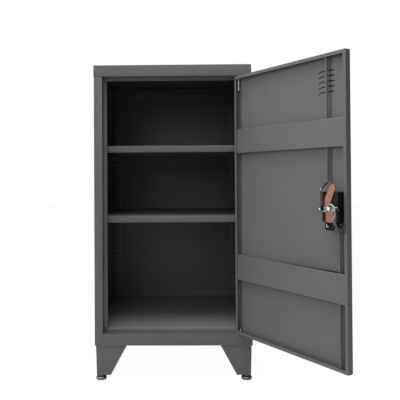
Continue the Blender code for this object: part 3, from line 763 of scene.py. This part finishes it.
def lock_case():
    """The case: a shallow box open to the door, with a bore, a slot for the ring and three grooves."""
    low, high = LOCK["lock_case"]
    body = plate_mesh("case", rounded_rectangle(low, high, 0.0030), low.z, high.z)
    hollow = box_mesh("hollow", (low.x + CASE_WALL, low.y + CASE_WALL, low.z - 0.01),
                      (high.x - CASE_WALL, high.y - CASE_WALL, high.z - CASE_WALL))
    bore = drum_mesh("bore", (0, 0, high.z), (0, 0, 1), 0.0066, 0.02)
    slot = box_mesh("ring_slot", (RING_SLOT_X[0], low.y - 0.01, RING_SLOT_Z[0]),
                    (RING_SLOT_X[1], low.y + 0.005, RING_SLOT_Z[1]))
    grooves = [box_mesh("groove", (low.x + 0.004, y - 0.0006, high.z - 0.0005),
                        (high.x - 0.004, y + 0.0006, high.z + 0.001))
               for y in (high.y - 0.0130, high.y - 0.0165, low.y + 0.0115)]
    mesh = soften(combine(body, [hollow, bore, slot, *grooves]), 0.0006)
    place_piece("lock_case_shell", mesh, "door", "black_enamel", ["lock_case"], LOCK_SPACE)


def rivet(place, radius, height):
    """A domed rivet head that stands on a place."""
    angles = [math.radians(angle) for angle in (25, 45, 65, 82)]
    dome = [(radius * math.sin(t), height * math.cos(t)) for t in angles]
    head = turned_mesh("rivet", [(0.0, height), *dome, (radius, -0.0004)], 24)
    head.transform(Matrix.Translation(place))
    return head


CAM_LEAN = math.radians(25.0)         # the tongue's lean towards the door's free edge
CAM_ROOT = Vector((-0.0125, 0.0155))  # where the tongue's middle line leaves the tail
CAM_REACH = 0.068
CAM_TIP = 0.0115                      # radius of the tongue's tip
CAM_TONGUE = (0.0140, 0.0130)         # the tongue's half widths at its root
CAM_TAIL = 0.041                      # the tail's end below the spindle
CAM_TAIL_HALF = 0.0145
CAM_TAIL_CORNER = 0.003
CAM_SHOULDER = -0.002                 # height at which the tail begins
CAM_FOLD_AT = 0.027                   # along the tongue
CAM_FOLD_HALF = Vector((0.02, 0.0011, 0.0017))
CAM_FOLD_TURN = 0.15                  # the fold's slant to the tongue, in radians


def latch_cam():
    """Copper-plated cam: an offset tongue that locks behind the door stop, and a broad tail."""
    low, high = LOCK["latch_cam"]
    aim = Vector((math.sin(CAM_LEAN), math.cos(CAM_LEAN)))
    side = Vector((math.cos(CAM_LEAN), -math.sin(CAM_LEAN)))
    middle = CAM_ROOT + aim * (CAM_REACH - CAM_TIP)
    lean = math.degrees(CAM_LEAN)
    tip = arc(middle, CAM_TIP, -lean, 180 - lean, 16)
    edge, end = CAM_TAIL_HALF - CAM_TAIL_CORNER, CAM_TAIL_CORNER - CAM_TAIL
    foot = [(-CAM_TAIL_HALF, CAM_SHOULDER), *arc((-edge, end), CAM_TAIL_CORNER, 180, 270, 5),
            *arc((edge, end), CAM_TAIL_CORNER, 270, 360, 5), (CAM_TAIL_HALF, CAM_SHOULDER)]
    outline = [tuple(CAM_ROOT + side * CAM_TONGUE[0]), *tip, tuple(CAM_ROOT - side * CAM_TONGUE[1]), *foot]
    plate = plate_mesh("latch_cam_plate", outline, low.z, high.z)
    fold = box_mesh("fold", -CAM_FOLD_HALF, CAM_FOLD_HALF)
    fold.transform(Matrix.Translation((*(CAM_ROOT + aim * CAM_FOLD_AT), high.z))
                   @ Matrix.Rotation(-CAM_LEAN - CAM_FOLD_TURN, 4, "Z"))
    mesh = soften(combine(plate, [fold]), 0.0004)
    place_piece("latch_cam_plate", mesh, "handle", "copper_plate", ["latch_cam"], LOCK_SPACE)


def cross_arm():
    low, high = LOCK["cross_arm"]
    ends = arc((ARM_REACH, 0.0), ARM_END, -90, 90, 12) + arc((-ARM_REACH, 0.0), ARM_END, 90, 270, 12)
    bar = plate_mesh("bar", ends, low.z, high.z)
    place_piece("cross_arm_bar", soften(bar, 0.0006), "handle", "dull_zinc", ["cross_arm"], LOCK_SPACE)


NUT_CORNER = 0.0085       # from the nut's middle to its corners
CROWN_RADIUS = 0.0098     # of the cone that rounds the nut's corners
STUD_RADIUS = 0.0038


def spindle_nut():
    """A hexagon nut with its corners rounded off, and the end of the stud through it."""
    low, high = LOCK["spindle_nut"]
    nut = plate_mesh("nut", arc((0, 0), NUT_CORNER, 0, 300, 5), low.z, high.z - 0.0006)
    crown = turned_mesh("crown", [(0.0, high.z + 0.002), (CROWN_RADIUS, high.z - 0.0010),
                                  (CROWN_RADIUS, low.z - 0.002), (0.0, low.z - 0.002)], 36)
    stud = turned_mesh("stud", [(0.0, high.z), (STUD_RADIUS - 0.0006, high.z),
                                (STUD_RADIUS, high.z - 0.0006), (STUD_RADIUS, low.z)], 24)
    nut = soften(combine(nut, [crown], "INTERSECT"), 0.0003)
    place_piece("spindle_hex_nut", merged("spindle_hex_nut", [nut, stud]), "handle", "zinc_plate",
                ["spindle_nut"], LOCK_SPACE)


ROD_OVER_ARM = 0.0050     # the rods' middle above the arm's face
ROD_BEND = 0.009
TIP_THINNER = 0.8         # the upper rod's zinc end, as a share of the rod
TIP_START = 0.004         # below the bend
ROD_PIN_HEIGHT = 0.0094   # of a pin's head above the arm's face
ROD_PIN = (0.0034, 0.0018)


def lock_rods():
    """Round rods that step out past the lock case to the ends of the cross arm, with their pins."""
    case_low, case_high = LOCK["lock_case"]
    deep = inward(ARM_FACE + ROD_OVER_ARM)
    for end, side, case_edge, bend, behind in (("upper", -1, case_high.y, 0.024, 0.006),
                                               ("lower", 1, case_low.y, -0.028, -0.003)):
        node = f"lock_rod_{end}"
        low, high = local_box(node, DOOR_SPACE)
        line = rod_line(end)
        step = SPINDLE.z + case_edge + behind
        stop, pinned_z = (high.z, low.z) if end == "upper" else (low.z, high.z)
        pinned = SPINDLE.x - side * ARM_REACH
        corners = [(line.x, line.y, stop), (line.x, line.y, step + bend), (pinned, deep, step),
                   (pinned, deep, pinned_z)]
        path = rounded_path(corners, ROD_BEND, 8)
        if end == "upper":
            turn = next(i for i, place in enumerate(path) if place.z < step + bend - TIP_START)
            tip = tube_mesh(f"{node}_end", path[turn:], ROD_RADIUS * TIP_THINNER, resolution=6)
            place_piece(f"{node}_end", tip, f"rod_{end}", "dull_zinc", (), DOOR_SPACE)
            path = path[:turn + 1]
        rod = tube_mesh(f"{node}_bar", path, ROD_RADIUS, resolution=6)
        place_piece(f"{node}_bar", rod, f"rod_{end}", "powder_coat", [node], DOOR_SPACE)
        pin = rivet((side * ARM_REACH, 0.0, ARM_FACE + ROD_PIN_HEIGHT), *ROD_PIN)
        place_piece(f"{node}_pin", pin, f"rod_{end}", "zinc_plate", (), LOCK_SPACE)


SPRING_OVER_ARM = 0.0115  # the return spring's wire above the arm's face
CLIP_LEVEL = 0.0240       # the rod clip's height in the lock's frame


def lock_wires():
    """The return spring's wire at the arm, and a thin clip beside the lower rod."""
    face = ARM_FACE + SPRING_OVER_ARM
    spring = tube_mesh("return_spring_wire", rounded_path([
        (0.0030, 0.0096, face - 0.0070), (0.0060, 0.0160, face), (0.0150, 0.0180, face),
        (0.0340, 0.0100, face), (0.0345, -0.0190, face), (0.0250, -0.0280, face)], 0.006), 0.0011)
    place_piece("return_spring_wire", spring, "handle", "zinc_plate", (), LOCK_SPACE)
    bends = ((0.0265, -0.0395), (0.0385, -0.0424), (0.0445, -0.0586), (0.0385, -0.0738), (0.0290, -0.0686))
    clip = tube_mesh("rod_clip_wire", rounded_path([(x, y, CLIP_LEVEL) for x, y in bends], 0.006), 0.0009)
    place_piece("rod_clip_wire", clip, "door", "black_enamel", (), LOCK_SPACE)


COVER_EDGE = -0.029       # the edge nearest the hinge
COVER_FOOT = -0.0670
COVER_DEPTH = (0.0125, 0.0330)
COVER_BORE = 0.0096
RING_WIRE = 0.0011
TAG_HALF_THICKNESS = 0.0006


def key_cover():
    """The black cover over the key cylinder's rear."""
    key = LOCK_SPACE.inverted() @ Vector(JOINTS["key_turn"]["pos_m"])
    top = LOCK["lock_case"][0].y - 0.0006
    outline = [(COVER_EDGE, top), (0.0125, top), (0.0110, -0.0520), (0.0035, COVER_FOOT),
               (COVER_EDGE + 0.004, COVER_FOOT), (COVER_EDGE, COVER_FOOT + 0.004)]
    cover = plate_mesh("cover", outline, *COVER_DEPTH)
    bore = drum_mesh("cover_bore", (key.x, key.y, 0.0200), (0, 0, 1), COVER_BORE, 0.0180)
    place_piece("key_cover", soften(combine(cover, [bore]), 0.0008), "door", "black_enamel", (), LOCK_SPACE)


def key_ring():
    """The ring through the case, and a small angled tag on it."""
    low, high = LOCK["key_ring"]
    middle, radius = (low + high) / 2, (high.x - low.x) / 2 - RING_WIRE
    loop = [(x, y, middle.z) for x, y in arc((middle.x, middle.y), radius, 0, 350, 35)]
    ring = tube_mesh("key_ring_wire", loop, RING_WIRE, closed=True)
    place_piece("key_ring_wire", ring, "key_ring", "black_enamel", ["key_ring"], LOCK_SPACE)
    foot = middle.y - radius
    left, inner, right = (middle.x + x for x in (-0.0050, -0.0025, 0.0045))
    bottom, crook, top = (foot + y for y in (0.0012, 0.0035, 0.0105))
    outline = [(left, top), (inner, top), (inner, crook), (right, crook), (right, bottom), (left, bottom)]
    tag = plate_mesh("tag", outline, middle.z - TAG_HALF_THICKNESS, middle.z + TAG_HALF_THICKNESS)
    place_piece("key_ring_tag", soften(tag, 0.0002), "key_ring", "zinc_plate", (), LOCK_SPACE)


def polish(node, body, look, width):
    """A plain turned or cut CAD piece with its corners eased."""
    mesh = soften(to_mesh(cleaned(node), f"{node}_eased"), width)
    place_piece(f"{node}_eased", mesh, body, look, [node])


EASED = (                 # node, body, finish and width of the easing
    ("outer_handle", "handle", "black_enamel", 0.0016),
    ("escutcheon", "door", "black_enamel", 0.0010),
    ("key_cylinder", "key_cylinder", "zinc_plate", 0.0005),
    ("spindle", "handle", "zinc_plate", 0.0004),
    ("hinge_bush_upper", "cabinet", "bush_brass", 0.0003),
    ("hinge_washer_lower", "cabinet", "bush_brass", 0.0002),
    ("hinge_pin_lower", "cabinet", "zinc_plate", 0.0003),
)


# ---- feet ---------------------------------------------------------------------------------------
THREAD_PITCH = 0.0012
THREAD = (0.0049, 0.0043)             # crest and root radius
GLIDE_RADIUS = 0.0200
FOOT_HEXAGON = 0.0095                 # from its middle to its corners


def foot_thread(top, end):
    """Outer profile of the threaded stud, from its top down to the glide."""
    crest, root = THREAD
    profile = [(0.0, top), (0.0038, top), (0.0048, top - 0.001)]
    z = top - 0.0016
    while z > end + 0.0020:
        profile += [(crest, z), (root, z - THREAD_PITCH / 2)]
        z -= THREAD_PITCH
    return [*profile, (0.0045, end)]


def foot_glide(ground):
    """Outer profile of the round glide that stands on the ground."""
    sides = ((0.0100, 0.0128), (0.0150, 0.0122), (0.0185, 0.0107), (0.0197, 0.0097), (GLIDE_RADIUS, 0.0087),
             (GLIDE_RADIUS, 0.0020), (0.0196, 0.0009), (0.0187, 0.0))
    return [(0.0, ground + 0.0128), *((radius, ground + up) for radius, up in sides), (0.0, ground)]


def feet():
    """Levelling feet: a glide on a threaded stud, with a hexagon to turn it by."""
    for end in ("front", "rear"):
        for side in ("left", "right"):
            node = f"foot_{end}_{side}"
            low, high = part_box(node)
            centre = (low + high) / 2
            hexagon = plate_mesh("hexagon", arc((0, 0), FOOT_HEXAGON, 0, 300, 5), low.z + 0.0120,
                                 low.z + 0.0184)
            mesh = merged(f"{node}_glide", [turned_mesh("stud", foot_thread(high.z, low.z + 0.0170), 24),
                                            turned_mesh("glide", foot_glide(low.z)), soften(hexagon, 0.0004)])
            mesh.transform(Matrix.Translation((centre.x, centre.y, 0.0)))
            place_piece(f"{node}_glide", mesh, node, "foot_steel", [node])


def coat_cad_nodes():
    """Gives every CAD node the finish of its own slot, whether it shows or a piece stands for it."""
    for part in frame["record"]["subparts"]:
        slots = frame["nodes"][part["node"]].data.materials
        slots.clear()
        slots.append(LOOKS[part["material_slot"]])


# ---- stage --------------------------------------------------------------------------------------
CAMERA_PLACE = (0.0479, -2.3899, 0.6447)
CAMERA_TURN = (0.7583, 0.6674, 0.3331)            # yaw, pitch and roll, in degrees
CAMERA_LENS = 48.55                               # on a sensor 36 mm wide
CAMERA_SHIFT = (0.0552, -0.0702)
AIM = (0.0, 0.0, 0.5)                             # what the lights point at
SOFTBOXES = (                                     # name, place, size and power
    ("left_softbox", (-3.4, -0.8, 1.5), (2.2, 2.6), 40.0),
    ("top_softbox", (-0.5, -0.8, 3.6), (2.6, 2.0), 122.0),
    ("front_softbox", (-0.6, -3.4, 2.0), (2.2, 2.0), 27.0),
)
# the surround's brightness from straight down to straight up, and from the left to the right
SKY = ((0.0, 0.07), (0.40, 0.10), (0.52, 0.16), (0.70, 0.34), (1.0, 0.70))
SIDE_FILL = (1.72, 0.16)
FLOOR_RADIUS = 14.0
FLOOR_GREY = (0.66, 0.68)
FLOOR_WHITENED = 0.97                             # share of plain white in what the camera sees


def camera():
    data = bpy.data.cameras.new("camera")
    data.sensor_width = 36.0
    data.lens = CAMERA_LENS
    data.shift_x, data.shift_y = CAMERA_SHIFT
    data.clip_end = 100.0
    made = bpy.data.objects.new("camera", data)
    bpy.context.scene.collection.objects.link(made)
    yaw, pitch, roll = (math.radians(angle) for angle in CAMERA_TURN)
    turn = Matrix.Rotation(yaw, 4, "Z") @ Matrix.Rotation(pitch, 4, "X") @ Matrix.Rotation(roll, 4, "Y")
    made.matrix_world = Matrix.Translation(CAMERA_PLACE) @ turn @ Matrix.Rotation(math.radians(90), 4, "X")
    bpy.context.scene.camera = made


def soft_light(name, place, size, power):
    data = bpy.data.lights.new(name, "AREA")
    data.shape = "RECTANGLE"
    data.size, data.size_y = size
    data.energy = power
    made = bpy.data.objects.new(name, data)
    bpy.context.scene.collection.objects.link(made)
    made.location = place
    made.rotation_euler = (Vector(AIM) - Vector(place)).to_track_quat("-Z", "Y").to_euler()
    made.visible_camera = False


def floor():
    """A pale floor, whitened where the camera sees it, as the backdrop is."""
    bm = bmesh.new()
    bmesh.ops.create_circle(bm, cap_ends=True, segments=96, radius=FLOOR_RADIUS)
    made = bpy.data.objects.new("studio_floor", to_mesh(bm, "studio_floor"))
    made.location = (0.0, 0.0, CAD_BOX[0].z - 0.0002)
    bpy.context.scene.collection.objects.link(made)
    surface = Shader("studio_white", 0.85, specular=0.1)
    drift = [(0.3, grey(FLOOR_GREY[0])), (0.7, grey(FLOOR_GREY[1]))]
    surface.colour(surface.ramp(surface.noise(2.0), drift))
    glow = surface.nodes.new("ShaderNodeEmission")
    glow.inputs["Color"].default_value = (1.0, 1.0, 1.0, 1.0)
    glow.inputs["Strength"].default_value = 1.0
    seen = surface.nodes.new("ShaderNodeLightPath").outputs["Is Camera Ray"]
    mix = surface.nodes.new("ShaderNodeMixShader")
    surface.links.new(map_range(surface.tree, seen, (0.0, 1.0), (0.0, FLOOR_WHITENED)), mix.inputs[0])
    surface.links.new(surface.main.outputs[0], mix.inputs[1])
    surface.links.new(glow.outputs[0], mix.inputs[2])
    surface.links.new(mix.outputs[0], surface.nodes["Material Output"].inputs["Surface"])
    made.data.materials.append(surface.material)


def surround():
    """White to the camera; as light, dim below and bright above, and stronger from the left."""
    world = bpy.data.worlds.new("studio")
    bpy.context.scene.world = world
    world.use_nodes = True
    tree = world.node_tree
    nodes, links = tree.nodes, tree.links
    fill = nodes["Background"]
    backdrop = nodes.new("ShaderNodeBackground")
    backdrop.inputs["Color"].default_value = (1.0, 1.0, 1.0, 1.0)
    backdrop.inputs["Strength"].default_value = 1.0
    split = nodes.new("ShaderNodeSeparateXYZ")
    links.new(nodes.new("ShaderNodeTexCoord").outputs["Generated"], split.inputs[0])
    height = map_range(tree, split.outputs["Z"], (-1.0, 1.0), (0.0, 1.0))
    levels = colour_ramp(tree, height, [(position, grey(value)) for position, value in SKY])
    links.new(levels, fill.inputs["Color"])
    links.new(map_range(tree, split.outputs["X"], (-1.0, 1.0), SIDE_FILL), fill.inputs["Strength"])
    chooser = nodes.new("ShaderNodeMixShader")
    links.new(nodes.new("ShaderNodeLightPath").outputs["Is Camera Ray"], chooser.inputs["Fac"])
    links.new(fill.outputs[0], chooser.inputs[1])
    links.new(backdrop.outputs[0], chooser.inputs[2])
    links.new(chooser.outputs[0], nodes["World Output"].inputs["Surface"])


def studio():
    bpy.context.scene.view_settings.view_transform = "Standard"
    surround()
    for name, place, size, power in SOFTBOXES:
        soft_light(name, place, size, power)
    floor()


camera()
carcass()
slot_shadows()
door_tray()
louvres()
door_stiffeners()
weld_marks()
hinge_pin()
lock_case()
latch_cam()
cross_arm()
spindle_nut()
lock_rods()
lock_wires()
key_cover()
key_ring()
for row in EASED:
    polish(*row)
hinge_spring()
feet()
coat_cad_nodes()
studio()
